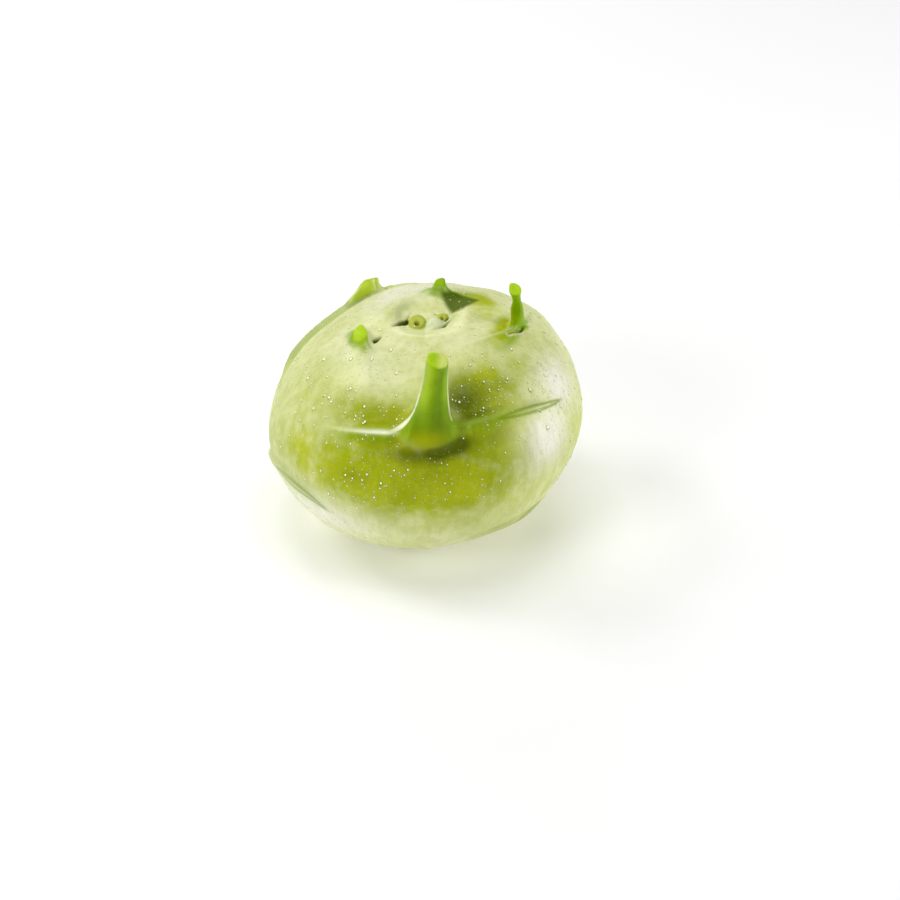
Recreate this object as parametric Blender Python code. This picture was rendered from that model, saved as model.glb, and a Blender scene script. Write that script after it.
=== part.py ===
"""A kohlrabi: a swollen stem with cut leaf stalks, raised leaf-base wings, a sunken crown and a root cut.

The form is one signed field, negative inside. The bulb is a radius in each direction, with the wings,
scars and hollows raised from it or sunk in it by formula, and the leaf stalks are melted into it. The
field is turned into a closed mesh, which a Decimate modifier thins where the skin is smooth.
Metres, +Z up, with the origin in the middle of the flat root cut, which the bulb rests on.
"""

import math
from dataclasses import dataclass

import bpy
import numpy as np

MM = 0.001

# The bulb
BULB_RADIUS = 44 * MM
BULB_HALF_HEIGHT = 34.2 * MM
CENTRE_HEIGHT = 33.3 * MM  # of the bulb's middle above the root cut
BULB_TILT = 0.07  # the right side rises by this share of its distance from the middle
CROWN = (1.0 * MM, -1.4 * MM)  # the growing point, a little off the bulb's middle
CROWN_DEPTH = 2.8 * MM
CROWN_FLOOR = 4 * MM  # radius of the level middle of the crown
CROWN_BRIM = 12 * MM  # radius where the crown's slope ends

# The leaf spiral: each leaf is a golden angle round from the one below it
GOLDEN_ANGLE = -137.5
FRONT_AZIMUTH = 270.0  # of leaf 0, the tall front stalk

# The wings, crests that run out from each leaf base round the bulb
WING_UNDERSIDE = 3.6 * MM  # over which a wing fades into the skin below it
WING_STEP = 1.1 * MM  # over which it drops to the skin above it
WING_CREASE = 0.3  # depth of the crease above it, as a share of the crest
WEB_HALF_THICKNESS = 0.7 * MM  # at its edge, of the web in the corner between stalk and wing
WEB_SPREAD = 0.12  # how much thicker it gets for each length below its edge
WEB_MELT = 1.5 * MM  # size of the blend between web and bulb
BODY_MELT = 2.5 * MM  # size of the blend between stalk and web

# The swelling at a stalk's foot, as shares of the stalk's half width
FOOT_HEIGHT = 0.5
FOOT_WIDTH = 2.6
FOOT_FALL = 2.2

# The stalks
STALK_ROOT = 9 * MM  # how far a stalk reaches into the bulb
ROOT_TAPER = 0.8  # how fast it narrows in there
STALK_MELT = 1.5  # size of the blend between stalk and bulb, as a share of the half width
STALK_BACK = 0.8  # how far behind its axis a stalk's flat inner side lies, as a share of its depth
CUT_ROUNDING = 0.9 * MM  # of the edges of a cut stalk

# The mesh
MESH_STEP = 1.0 * MM
MESH_ROOM = 3 * MM  # empty space kept round the field
SLOPE_STEP = 0.05 * MM  # over which the field's slope is measured
SETTLE_ROUNDS = 3
PINCH_ROUNDS = 3
KEPT_FACES = 0.145  # the share that the Decimate modifier keeps

SKIN_COLOUR = (0.56, 0.62, 0.17, 1.0)
SKIN_ROUGHNESS = 0.42


@dataclass
class Bud:
    """A leaf at the growing point, cut off or still folded: an upright knob with a round top."""

    x: float  # from the growing point
    y: float
    radius: float
    top: float  # above the bulb's middle


BUDS = (
    Bud(-3.1 * MM, -1.7 * MM, 2.4 * MM, 33.3 * MM),
    Bud(1.7 * MM, -2.4 * MM, 2.6 * MM, 33.4 * MM),
    Bud(3.8 * MM, 2.0 * MM, 1.4 * MM, 32.3 * MM),
)
BUD_LENGTH = 6 * MM
BUD_MELT = 1.2 * MM


@dataclass
class Swelling:
    """A soft bulge of the skin, or a hollow where its height is below 0. Angles are in degrees."""

    azimuth: float
    latitude: float
    height: float
    spread: float


SWELLINGS = (
    Swelling(32, 40, 1.0 * MM, 15 * MM),  # the shoulder at the back right
    Swelling(150, 38, -0.5 * MM, 12 * MM),
    Swelling(295, 46, -1.2 * MM, 8 * MM),  # the hollow beside the front stalk
    Swelling(281, 21, -1.5 * MM, 6.5 * MM),  # and the one under its foot
    Swelling(38, 77, -1.1 * MM, 5 * MM),  # the hollow inside the back leaf base
    Swelling(235, 8, 0.6 * MM, 12 * MM),
)


@dataclass
class Wing:
    """The crest on one side of a leaf base. Angles are in degrees."""

    reach: float  # how far round the bulb it runs
    drop: float  # how far its end lies below the leaf base
    bow: float = 0.0  # how far its middle is arched up
    crest: float = 0.8 * MM  # its height over the skin
    fillet: float = 2 * MM  # width of the corner between the stalk and the wing
    stretch: float = 1.3  # how much taller than wide the corner is
    straight: float = 0.0  # 0 for a rounded corner, 1 for a straight one
    hold: float = 0.35  # the share of its reach over which it keeps its height


@dataclass
class Leaf:
    """A leaf base, with its cut stalk. Left and right are as seen from outside, facing the bulb."""

    rank: int  # its turn in the spiral: 0 is the front stalk, and higher is younger
    latitude: float  # of its base, 0 at the widest girth and 90 at the top, in degrees
    left: Wing
    right: Wing
    turn: float = 0.0  # how far it sits from its place in the spiral, in degrees
    length: float = 0.0  # of the stalk, from the skin to the cut, or 0 for a bare scar
    half_width: float = 1.5 * MM  # at the cut
    half_depth: float = 1.5 * MM
    taper: float = 0.06  # how much wider it is at its base, for each length
    rise: float = 80.0  # elevation of the stalk's axis, in degrees
    lean: float = 0.0  # sideways run for each length, to the right
    head: float = 0.0  # how much wider it is at the cut than just below
    cut_slope: float = 0.0  # fall of the cut towards the outer side
    cut_fall: float = 0.0  # and towards the right
    fan: float = 0.45  # how much more its web spreads on the outer side, next to the stalk

    @property
    def azimuth(self):
        return math.radians(FRONT_AZIMUTH + GOLDEN_ANGLE * self.rank + self.turn)


LEAVES = (
    Leaf(-4, -44, Wing(30, 3), Wing(30, 3)),
    Leaf(-3, -31, Wing(38, 4), Wing(34, 4)),
    Leaf(-2, -15, Wing(34, 4), Wing(64, 12, 8)),
    Leaf(-1, 12, Wing(45, 8, 3), Wing(40, 10, 2), length=3 * MM, half_width=3.2 * MM, half_depth=2.4 * MM,
         rise=50, cut_slope=0.2),
    Leaf(0, 31.5, Wing(50, 9, 0, 1.6 * MM, 5.5 * MM, 1.5), Wing(67, 6, 3.5, 0.9 * MM, 3.5 * MM), turn=2,
         length=27 * MM, half_width=2.9 * MM, half_depth=3.0 * MM, taper=0.13, rise=78, lean=0.08,
         cut_slope=0.15, cut_fall=0.25),
    Leaf(1, 44, Wing(45, 6, 3, 0.8 * MM, 3 * MM), Wing(60, 27, 10, 1.3 * MM, 9 * MM, 1.05, 0.5, 0.85),
         turn=-14, length=5 * MM, half_width=1.4 * MM, half_depth=1.6 * MM, taper=0.16, rise=76,
         cut_slope=0.3),
    Leaf(2, 55.3, Wing(62, -9, 6, 0.7 * MM, 5 * MM), Wing(35, 16, 0, 0.6 * MM, 1.5 * MM), turn=2,
         length=12.3 * MM, half_width=1.35 * MM, half_depth=1.35 * MM, taper=0.0, rise=97, head=1.0 * MM,
         cut_slope=0.35, cut_fall=-0.35, fan=0.0),
    Leaf(3, 63, Wing(25, 3, 0, 0.4 * MM), Wing(30, 4, 0, 0.4 * MM), turn=-11.5, length=2.6 * MM,
         half_width=1.9 * MM, half_depth=1.6 * MM, taper=0.2, rise=84, cut_slope=0.9, cut_fall=0.4, fan=0.1),
    Leaf(4, 75, Wing(45, 9, 0, 0.9 * MM, 3 * MM, 1.1), Wing(50, -2, 0, 0.6 * MM, 1.5 * MM), turn=-9.5,
         length=3.6 * MM, half_width=1.3 * MM, half_depth=1.2 * MM, taper=0.3, rise=84, cut_slope=-0.6),
    Leaf(5, 81, Wing(35, 1), Wing(95, 3)),
    Leaf(6, 79, Wing(60, -4), Wing(35, 0)),
)
HEAD_LENGTH = 2.6 * MM  # over which a stalk widens to its head


def smooth_union(first, second, size):
    """The lower of two fields, with the corner between them filled to about this size."""
    near = np.clip(size - np.abs(first - second), 0, None)
    return np.minimum(first, second) - near**2 / (4 * size)


def smooth_cut(first, second, size):
    """The higher of two fields, with the corner between them rounded to about this size."""
    return -smooth_union(-first, -second, size)


def fade(value, start, end):
    """1 before start, 0 past end, and smooth between them."""
    share = np.clip((value - start) / (end - start), 0, 1)
    return 1 - share * share * (3 - 2 * share)


def bulb_radius(direction):
    """Distance from the bulb's middle to its plain skin."""
    x, y, z = direction
    level = z - BULB_TILT * x
    return 1 / np.sqrt((x * x + y * y) / BULB_RADIUS**2 + (level / BULB_HALF_HEIGHT) ** 2)


def skin_point(azimuth, latitude):
    """Distance from the upright axis, and height over the bulb's middle, of a place on the plain skin."""
    flat = BULB_RADIUS * np.cos(latitude)
    up = BULB_HALF_HEIGHT * np.sin(latitude)
    direction = np.stack([flat * np.cos(azimuth), flat * np.sin(azimuth), up])
    direction = direction / np.linalg.norm(direction, axis=0)
    radius = bulb_radius(direction)
    return radius * np.hypot(direction[0], direction[1]), radius * direction[2]


def wrapped(angle):
    return (angle + math.pi) % (2 * math.pi) - math.pi


def wing_line(leaf, swing):
    """Latitude and height of the leaf's crest at a swing round the bulb from its base."""
    latitude = 0.0
    crest = 0.0
    base_half_width = leaf.half_width + leaf.taper * leaf.length
    beside = np.abs(swing) * BULB_RADIUS * math.cos(math.radians(leaf.latitude)) - base_half_width
    for wing, on_side in ((leaf.left, swing < 0), (leaf.right, swing >= 0)):
        share = np.abs(swing) / math.radians(wing.reach)
        arch = wing.bow * np.sin(math.pi * np.clip(share, 0, 1)) - wing.drop * np.clip(share, 0, 1.3) ** 2
        latitude = latitude + on_side * np.radians(leaf.latitude + arch)
        rise = 1 - fade(beside, 0, wing.fillet) if leaf.length else 1.0
        crest = crest + on_side * wing.crest * rise * fade(share, wing.hold, 1.0)
    return latitude, crest


def wing_relief(leaf, azimuth, latitude):
    """Height of a leaf base over the plain skin: sharp above, sloping below, with a crease on top."""
    swing = wrapped(azimuth - leaf.azimuth)
    line, crest = wing_line(leaf, swing)
    arc = np.hypot(BULB_RADIUS * np.sin(latitude), BULB_HALF_HEIGHT * np.cos(latitude))
    above = (latitude - line) * arc
    foot = 0.0
    underside = WING_UNDERSIDE
    if leaf.length:
        foot_width = FOOT_WIDTH * leaf.half_width / BULB_RADIUS / np.cos(line)
        foot = FOOT_HEIGHT * leaf.half_width * np.exp(-((swing / foot_width) ** 2))
        underside = WING_UNDERSIDE + FOOT_FALL * foot
    below = np.exp(-((above / underside) ** 2))
    profile = np.where(above < 0, below, fade(above, 0, WING_STEP + foot))
    crease = WING_CREASE * np.exp(-(((above - 1.6 * WING_STEP) / WING_STEP) ** 2))
    return (crest + foot) * profile - crest * crease


def swelling_relief(swelling, azimuth, latitude):
    round_bulb = wrapped(azimuth - math.radians(swelling.azimuth)) * np.cos(latitude)
    up_bulb = latitude - math.radians(swelling.latitude)
    away = BULB_RADIUS * np.hypot(round_bulb, up_bulb)
    return swelling.height * np.exp(-((away / swelling.spread) ** 2))


def crown_relief(x, y):
    """The bulb's top, sunk round the growing point."""
    away = np.hypot(x - CROWN[0], y - CROWN[1])
    return -CROWN_DEPTH * fade(away, CROWN_FLOOR, CROWN_BRIM)


def bulb_field(x, y, z):
    """The bulb with its relief. z is from the bulb's middle."""
    reach = np.sqrt(x * x + y * y + z * z) + 1e-9
    direction = (x / reach, y / reach, z / reach)
    radius = bulb_radius(direction)
    azimuth = np.arctan2(y, x)
    flat = np.hypot(direction[0], direction[1])
    latitude = np.arctan2(direction[2] / BULB_HALF_HEIGHT, flat / BULB_RADIUS)
    for swelling in SWELLINGS:
        radius = radius + swelling_relief(swelling, azimuth, latitude)
    for leaf in LEAVES:
        radius = radius + wing_relief(leaf, azimuth, latitude)
    sunk = np.where(z > 0, crown_relief(x, y), 0.0)
    return reach - radius - sunk


def stalk_place(leaf, out, up):
    """How far up the stalk a point lies and how far to the stalk's outer side, in its upright plane."""
    base_out, base_up = skin_point(leaf.azimuth, math.radians(leaf.latitude))
    rise = math.radians(leaf.rise)
    out = out - base_out
    up = up - base_up
    return out * math.cos(rise) + up * math.sin(rise), out * math.sin(rise) - up * math.cos(rise)


def stalk_and_web(leaf, x, y, z):
    """A cut leaf stalk with the web at its foot, bent round the bulb's axis, and how far aside points lie."""
    swing = wrapped(np.arctan2(y, x) - leaf.azimuth)
    out = np.hypot(x, y)
    along, outward = stalk_place(leaf, out, z)
    to_cut = leaf.length - along
    sideways = swing * out - leaf.lean * along
    below_cut = np.clip(to_cut, 0, leaf.length + 0.5 * STALK_ROOT)
    widening = leaf.taper * below_cut**2 / leaf.length + leaf.head * fade(to_cut, 0, HEAD_LENGTH)
    half_width = leaf.half_width + widening
    half_depth = leaf.half_depth + 0.7 * widening
    aside = np.abs(sideways)

    stalk = (np.hypot(sideways / half_width, outward / half_depth) - 1) * half_depth
    stalk = smooth_cut(stalk, -outward - STALK_BACK * half_depth, CUT_ROUNDING)
    stalk = stalk + ROOT_TAPER * np.clip(-along, 0, None)

    line, crest = wing_line(leaf, swing)
    line_out, line_up = skin_point(leaf.azimuth + swing, line)
    fillet = np.where(sideways < 0, leaf.left.fillet, leaf.right.fillet)
    stretch = np.where(sideways < 0, leaf.left.stretch, leaf.right.stretch)
    straight = np.where(sideways < 0, leaf.left.straight, leaf.right.straight)
    gap = np.clip(fillet - np.clip(aside - half_width, 0, None), 0, None)
    lift = 1 + crest / np.hypot(line_out, line_up)
    edge_along, edge_outward = stalk_place(leaf, line_out * lift, line_up * lift)
    rounded = fillet - np.sqrt(fillet**2 - gap**2)
    edge_along = edge_along + stretch * (straight * gap + (1 - straight) * rounded)
    below_edge = edge_along - along
    spread = WEB_SPREAD + leaf.fan * (outward > edge_outward) * gap / fillet
    web = np.abs(outward - edge_outward) - WEB_HALF_THICKNESS - spread * np.clip(below_edge, 0, fillet)
    web = smooth_cut(web, -below_edge, WEB_HALF_THICKNESS)
    web = smooth_cut(web, aside - half_width - fillet, WEB_MELT)

    body = smooth_union(stalk, web, BODY_MELT)
    cut = leaf.cut_slope * outward + leaf.cut_fall * sideways - to_cut
    body = np.maximum(smooth_cut(body, cut, CUT_ROUNDING), -along - STALK_ROOT)
    return body, aside / half_width


def bud_field(bud, x, y, z):
    centre = bud.top - bud.radius
    down = np.clip(z - centre, -BUD_LENGTH, 0)
    away = np.hypot(x - CROWN[0] - bud.x, y - CROWN[1] - bud.y)
    return np.hypot(away, z - centre - down) - bud.radius


def kohlrabi_field(points):
    """Signed distance, near the skin, of points in a 3 by n array."""
    x, y = points[0], points[1]
    z = points[2] - CENTRE_HEIGHT
    field = bulb_field(x, y, z)
    for leaf in LEAVES:
        if leaf.length:
            body, aside = stalk_and_web(leaf, x, y, z)
            melt = WEB_MELT + (STALK_MELT * leaf.half_width - WEB_MELT) * fade(aside, 1.0, 2.2)
            field = smooth_union(field, body, melt)
    for bud in BUDS:
        field = smooth_union(field, bud_field(bud, x, y, z), BUD_MELT)
    return np.maximum(field, -points[2])


def fill_pinches(values):
    """Fills gaps narrower than the grid, where two sheets of the surface would share an edge."""
    barely_inside = -1e-3 * MM
    for first, second in ((0, 1), (1, 2), (2, 0)):
        corners = []
        for shift_first, shift_second in ((0, 0), (1, 0), (1, 1), (0, 1)):
            window = [slice(None)] * 3
            window[first] = slice(shift_first, values.shape[first] - 1 + shift_first)
            window[second] = slice(shift_second, values.shape[second] - 1 + shift_second)
            corners.append(values[tuple(window)])
        inside = [corner < 0 for corner in corners]
        crossed = (inside[0] == inside[2]) & (inside[1] == inside[3]) & (inside[0] != inside[1])
        corners[0][crossed & ~inside[0]] = barely_inside
        corners[1][crossed & ~inside[1]] = barely_inside


def surface_net(values, low, step):
    """Vertices and four-sided faces where a grid of field values changes sign."""
    rings = []
    crossings = []
    for axis in range(3):
        near = [slice(None)] * 3
        far = [slice(None)] * 3
        near[axis] = slice(None, -1)
        far[axis] = slice(1, None)
        start, end = values[tuple(near)], values[tuple(far)]
        cells = np.argwhere((start < 0) != (end < 0))
        start, end = start[tuple(cells.T)], end[tuple(cells.T)]
        crossing = cells.astype(float)
        crossing[:, axis] += start / (start - end)
        side = np.eye(3, dtype=int)[(axis + 1) % 3]
        other = np.eye(3, dtype=int)[(axis + 2) % 3]
        ring = np.stack([cells, cells - side, cells - side - other, cells - other], axis=1)
        ring[start >= 0] = ring[start >= 0][:, ::-1]
        rings.append(ring)
        crossings.append(crossing)
    rings = np.concatenate(rings)
    crossings = np.repeat(np.concatenate(crossings), 4, axis=0)
    names = np.ravel_multi_index(rings.reshape(-1, 3).T, values.shape)
    _, corner = np.unique(names, return_inverse=True)
    count = np.bincount(corner)
    vertices = [low[k] + step * np.bincount(corner, crossings[:, k]) / count for k in range(3)]
    return np.stack(vertices), corner.reshape(-1, 4)


def settled(vertices):
    """The vertices moved along the field's slope onto its zero surface."""
    for _ in range(SETTLE_ROUNDS):
        value = kohlrabi_field(vertices)
        slope = []
        for axis in range(3):
            offset = np.zeros((3, 1))
            offset[axis] = SLOPE_STEP
            rise = kohlrabi_field(vertices + offset) - kohlrabi_field(vertices - offset)
            slope.append(rise / (2 * SLOPE_STEP))
        slope = np.stack(slope)
        move = value * slope / np.clip((slope**2).sum(axis=0), 0.2, None)
        vertices = vertices - np.clip(move, -MESH_STEP, MESH_STEP)
    vertices[2][vertices[2] < 0.5 * SLOPE_STEP] = 0
    return vertices


def grid_points(step):
    """A box of grid points round the whole kohlrabi, and its lowest corner."""
    tallest = max(leaf.length for leaf in LEAVES)
    side = BULB_RADIUS + MESH_ROOM
    low = np.array([-side, -side, -MESH_ROOM])
    high = np.array([side, side, CENTRE_HEIGHT + BULB_HALF_HEIGHT + tallest / 2 + MESH_ROOM])
    counts = np.ceil((high - low) / step).astype(int) + 1
    axes = [low[k] + step * np.arange(counts[k]) for k in range(3)]
    return np.stack(np.meshgrid(*axes, indexing="ij")), low


def skin_material():
    material = bpy.data.materials.new("kohlrabi_skin")
    material.use_nodes = True
    shader = material.node_tree.nodes["Principled BSDF"]
    shader.inputs["Base Color"].default_value = SKIN_COLOUR
    shader.inputs["Roughness"].default_value = SKIN_ROUGHNESS
    return material


def make_kohlrabi():
    points, low = grid_points(MESH_STEP)
    values = kohlrabi_field(points.reshape(3, -1)).reshape(points.shape[1:])
    for _ in range(PINCH_ROUNDS):
        fill_pinches(values)
    vertices, faces = surface_net(values, low, MESH_STEP)
    vertices = settled(vertices)
    mesh = bpy.data.meshes.new("kohlrabi")
    mesh.from_pydata(vertices.T.tolist(), [], faces.tolist())
    mesh.shade_smooth()
    mesh.materials.append(skin_material())
    kohlrabi = bpy.data.objects.new("kohlrabi", mesh)
    bpy.context.collection.objects.link(kohlrabi)
    thin = kohlrabi.modifiers.new("thin", "DECIMATE")
    thin.ratio = KEPT_FACES
    return kohlrabi


def clear_scene():
    for old in list(bpy.data.objects):
        bpy.data.objects.remove(old, do_unlink=True)


def main():
    clear_scene()
    make_kohlrabi()


main()
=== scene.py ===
"""The looks of a kohlrabi: its skin in full detail, water drops, a pale floor, soft light and a camera."""

import math
from dataclasses import dataclass

import bpy
import numpy as np
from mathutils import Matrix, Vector


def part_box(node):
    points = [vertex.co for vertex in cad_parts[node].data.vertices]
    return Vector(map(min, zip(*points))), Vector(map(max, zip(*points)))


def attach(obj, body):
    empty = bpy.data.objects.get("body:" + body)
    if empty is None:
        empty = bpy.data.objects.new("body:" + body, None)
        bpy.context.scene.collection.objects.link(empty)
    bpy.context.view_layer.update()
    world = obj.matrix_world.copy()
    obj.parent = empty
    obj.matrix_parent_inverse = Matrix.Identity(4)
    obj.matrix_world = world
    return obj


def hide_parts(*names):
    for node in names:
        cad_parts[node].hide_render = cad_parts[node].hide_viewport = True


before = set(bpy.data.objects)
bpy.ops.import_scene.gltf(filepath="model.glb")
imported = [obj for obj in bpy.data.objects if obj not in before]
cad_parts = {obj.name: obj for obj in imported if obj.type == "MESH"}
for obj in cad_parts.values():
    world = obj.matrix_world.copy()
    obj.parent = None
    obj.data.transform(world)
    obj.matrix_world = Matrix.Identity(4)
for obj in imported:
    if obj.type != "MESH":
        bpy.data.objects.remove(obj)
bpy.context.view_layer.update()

SOLID_LOW, SOLID_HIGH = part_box("kohlrabi")
MM = (SOLID_HIGH.x - SOLID_LOW.x) / 88.1  # a millimetre of the solid, which is 88.1 mm wide

# The bulb
BULB_RADIUS = 44 * MM
BULB_HALF_HEIGHT = 34.2 * MM
CENTRE_HEIGHT = 33.3 * MM  # of the bulb's middle above the root cut
BULB_TILT = 0.07  # the right side rises by this share of its distance from the middle
CROWN = (1.0 * MM, -1.4 * MM)  # the growing point, a little off the bulb's middle
CROWN_DEPTH = 2.8 * MM
CROWN_FLOOR = 4 * MM  # radius of the level middle of the crown
CROWN_BRIM = 12 * MM  # radius where the crown's slope ends
BASE_ROUNDING = 0.8 * MM  # of the edge of the root cut

# The leaf spiral: each leaf is a golden angle round from the one below it
GOLDEN_ANGLE = -137.5
FRONT_AZIMUTH = 270.0  # of leaf 0, the tall front stalk

# The wings, crests that run out from each leaf base round the bulb
WING_UNDERSIDE = 3.6 * MM  # over which a wing fades into the skin below it
WING_STEP = 1.1 * MM  # over which it drops to the skin above it
WING_CREASE = 0.3  # depth of the crease above it, as a share of the crest
WEB_HALF_THICKNESS = 0.7 * MM  # at its edge, of the web in the corner between stalk and wing
WEB_SPREAD = 0.12  # how much thicker it gets for each length below its edge
WEB_MELT = 1.5 * MM  # size of the blend between web and bulb
BODY_MELT = 2.5 * MM  # size of the blend between stalk and web
RIM_RADIUS = 0.36 * MM  # of the pale bead along the edges of stalks, webs and wings
RIM_MELT = 0.4 * MM
BEAD_SINK = 0.3  # how far the bead's middle lies inside the edge, as a share of its radius
RIM_HEIGHT = 0.3 * MM  # of the bead on a wing
BEAD_END = 4 * MM  # over which the bead fades out below the cut

# The swelling at a stalk's foot, as shares of the stalk's half width
FOOT_HEIGHT = 0.5
FOOT_WIDTH = 2.6
FOOT_FALL = 2.2

# The stalks
STALK_ROOT = 9 * MM  # how far a stalk reaches into the bulb
ROOT_TAPER = 0.8  # how fast it narrows in there
GROOVE_DEPTH = 0.35 * MM  # of the long furrow on a stalk's outer side
GROOVE_PLACE = 0.35  # from the middle, as a share of the half width
GROOVE_WIDTH = 0.22
STALK_MELT = 1.5  # size of the blend between stalk and bulb, as a share of the half width
STALK_BACK = 0.8  # how far behind its axis a stalk's flat inner side lies, as a share of its depth
CUT_ROUNDING = 0.7 * MM  # of the edges of a cut stalk
HEAD_LENGTH = 2.6 * MM  # over which a stalk widens to its head

# The fine double lines where a fallen leaf's edges met the skin
LINE_HALF_WIDTH = 0.35 * MM
LINE_DEPTH = 0.22 * MM

# Slow unevenness of the skin: waves in random directions
WAVES = 14
WAVE_SEED = 7
WAVE_LENGTHS = (11 * MM, 34 * MM)
WAVE_HEIGHT = 0.075 * MM

# The mesh
MESH_STEP = 0.42 * MM
COARSE_STEPS = 4  # fine steps in one step of the grid that finds the skin first
COARSE_REACH = 1.25  # of the band kept round the skin, in coarse cell diagonals
MESH_ROOM = 3 * MM  # empty space kept round the field
SLOPE_STEP = 0.03 * MM  # over which the field's slope is measured
PINCH_ROUNDS = 3
MOST_TRIANGLES = 185_000


@dataclass
class Swelling:
    """A soft bulge of the skin, or a hollow where its height is negative. In degrees and millimetres."""

    azimuth: float
    latitude: float
    height: float
    spread: float


SWELLINGS = (
    Swelling(32, 40, 1.0, 15),  # the shoulder at the back right
    Swelling(150, 38, -0.5, 12),
    Swelling(295, 46, -1.2, 8),  # the hollow beside the front stalk
    Swelling(281, 21, -1.5, 6.5),  # and the one under its foot
    Swelling(38, 77, -1.1, 5),  # the hollow inside the back leaf base
    Swelling(235, 8, 0.6, 12),
)


@dataclass
class Bud:
    """A leaf at the growing point, cut off or still folded: an upright knob with a round top."""

    x: float  # from the growing point
    y: float
    radius: float
    top: float  # above the bulb's middle
    hollow: float = 0.0  # radius of the pipe left open where it was cut


BUDS = (
    Bud(-3.1 * MM, -1.7 * MM, 2.4 * MM, 34.1 * MM, 0.75 * MM),
    Bud(1.7 * MM, -2.4 * MM, 2.6 * MM, 33.4 * MM),
    Bud(3.8 * MM, 2.0 * MM, 1.4 * MM, 32.6 * MM, 0.45 * MM),
)
BUD_LENGTH = 6 * MM
BUD_MELT = 0.7 * MM
BUD_CUT = 0.45  # how far below its top a bud is cut off, as a share of its radius
BUD_LEAN = 0.45  # how much the cut leans to the front
HOLLOW_FRONT = 0.5  # how far the pipe lies in front of the bud's middle, as a share of its radius


@dataclass
class Slit:
    """A narrow gap where folded leaf bases part, straight in plan, in millimetres from the growing point."""

    start: tuple
    end: tuple
    half_widths: tuple  # at the start and at the end
    depth: float
    dry: float = 0.0  # how brown it is inside
    pale: float = 0.0  # how white its lips are, as a painted highlight


SLITS = (
    Slit((-9.6, -3.9), (-6.0, -0.4), (0.4, 1.3), 1.3, 0.0, 0.3),
    Slit((-6.4, 0.0), (-4.6, 4.4), (0.5, 0.12), 0.8),
    Slit((1.4, 4.4), (4.8, 1.2), (0.15, 1.0), 1.6),
    Slit((-0.9, -6.2), (4.2, -4.4), (0.12, 0.45), 0.8),
    Slit((4.2, -4.4), (7.4, 1.6), (0.45, 0.15), 0.8),
    Slit((21.8, -6.6), (25.2, -2.7), (0.12, 0.32), 0.9, 0.3, 0.6),
    Slit((25.4, -2.3), (27.9, 1.7), (0.32, 0.12), 0.9, 0.3, 0.6),
    Slit((-14.4, -9.2), (-12.8, -8.0), (0.8, 0.3), 1.5),
)
SLIT_MELT = 0.4 * MM


@dataclass
class Patch:
    """A soft area of the skin. Its place is in degrees, and its half width and half height in millimetres."""

    azimuth: float
    latitude: float
    wide: float
    tall: float
    strength: float = 1.0


OLIVE_PATCHES = (
    Patch(266, 10, 38, 16),
    Patch(250, 27, 11, 5),
    Patch(240, 14, 18, 16, 0.55),
    Patch(253, 36, 20, 8, 0.85),
    Patch(212, 30, 16, 20, 0.35),
    Patch(300, 41, 12, 12),
    Patch(302, 24, 15, 10, 1.4),
    Patch(325, 46, 13, 8, 0.45),
    Patch(343, 60, 8, 4, 0.9),
    Patch(350, 45, 14, 8, 0.3),
    Patch(218, 8, 12, 14, 0.6),
    Patch(30, 68, 12, 5, 0.7),
    Patch(47, 2, 26, 14, 0.9),
    Patch(118, 30, 18, 9, 0.7),
    Patch(165, 0, 18, 16, 0.6),
    Patch(5, -8, 14, 12, 0.5),
)
# Dark patches: darker green skin, and painted shadow and shade beside and under the front stalk's foot and
# wings
DEEP_GREEN_AND_SHADE_PATCHES = (
    Patch(281.5, 25.5, 6, 4.2, 1.4),
    Patch(275, 23.3, 6.5, 4, 1.2),
    Patch(266, 22.5, 8.5, 4, 0.85),
    Patch(258, 27.5, 9, 2.5, 0.5),
    Patch(289, 43, 6.5, 7.5, 0.9),
    Patch(291, 36, 7, 2.6, 0.9),
    Patch(256, 37, 14, 5, 0.35),
    Patch(272, 12, 26, 9, 0.15),
    Patch(243, 9, 7, 4, 0.35),
    Patch(299, 25.5, 5, 3, 0.3),
    Patch(50, 3, 8, 3.5, 0.7),
)
YELLOW_PATCHES = (Patch(271, 29.5, 4.5, 2.6, 0.8), Patch(46, 9, 3, 2, 0.6))
GREEN_PATCHES = (Patch(338, 56.6, 5.5, 1.5, 0.75), Patch(339, 59.5, 3, 1, 0.6))
# Whitish patches: waxy bloom, and painted highlights and reflections of the lamps and the floor
BLOOM_AND_HIGHLIGHT_PATCHES = (
    Patch(226, -21, 18, 9, 0.9),
    Patch(322, 17, 9.5, 12, 1.1),
    Patch(340, 31, 9, 9),
    Patch(225, 55, 14, 9, 0.3),
    Patch(120, 66, 14, 9, 0.5),
    Patch(90, -22, 20, 9, 0.6),
)
BELT_TOP = 34  # latitudes that the olive belt round the bulb lies between
BELT_BOTTOM = -30
BELT_STRENGTH = 0.4


@dataclass
class Wing:
    """The crest on one side of a leaf base. Angles are in degrees."""

    reach: float  # how far round the bulb it runs
    drop: float  # how far its end lies below the leaf base
    bow: float = 0.0  # how far its middle is arched up
    crest: float = 0.8 * MM  # its height over the skin
    fillet: float = 2 * MM  # width of the rounded corner between the stalk and the wing
    pale: float = 0.25  # how white its edge is, as a painted highlight
    green: float = 0.35  # how green its underside is
    stretch: float = 1.3  # how much taller than wide its corner is
    straight: float = 0.0  # 0 for a rounded corner, 1 for a straight one
    hold: float = 0.35  # the share of its reach over which it keeps its height


@dataclass
class Parts:
    """The fields of a leaf's parts at some points, and where the points lie along and beside its stalk."""

    stalk: np.ndarray
    web: np.ndarray
    bead: np.ndarray
    cut: np.ndarray
    along: np.ndarray
    sideways: np.ndarray  # to the right of the stalk's middle, in half widths
    behind: np.ndarray  # how far on the inner side of the web
    corner: np.ndarray  # 0 on the stalk, 1 past the corner between it and the wing


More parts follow.
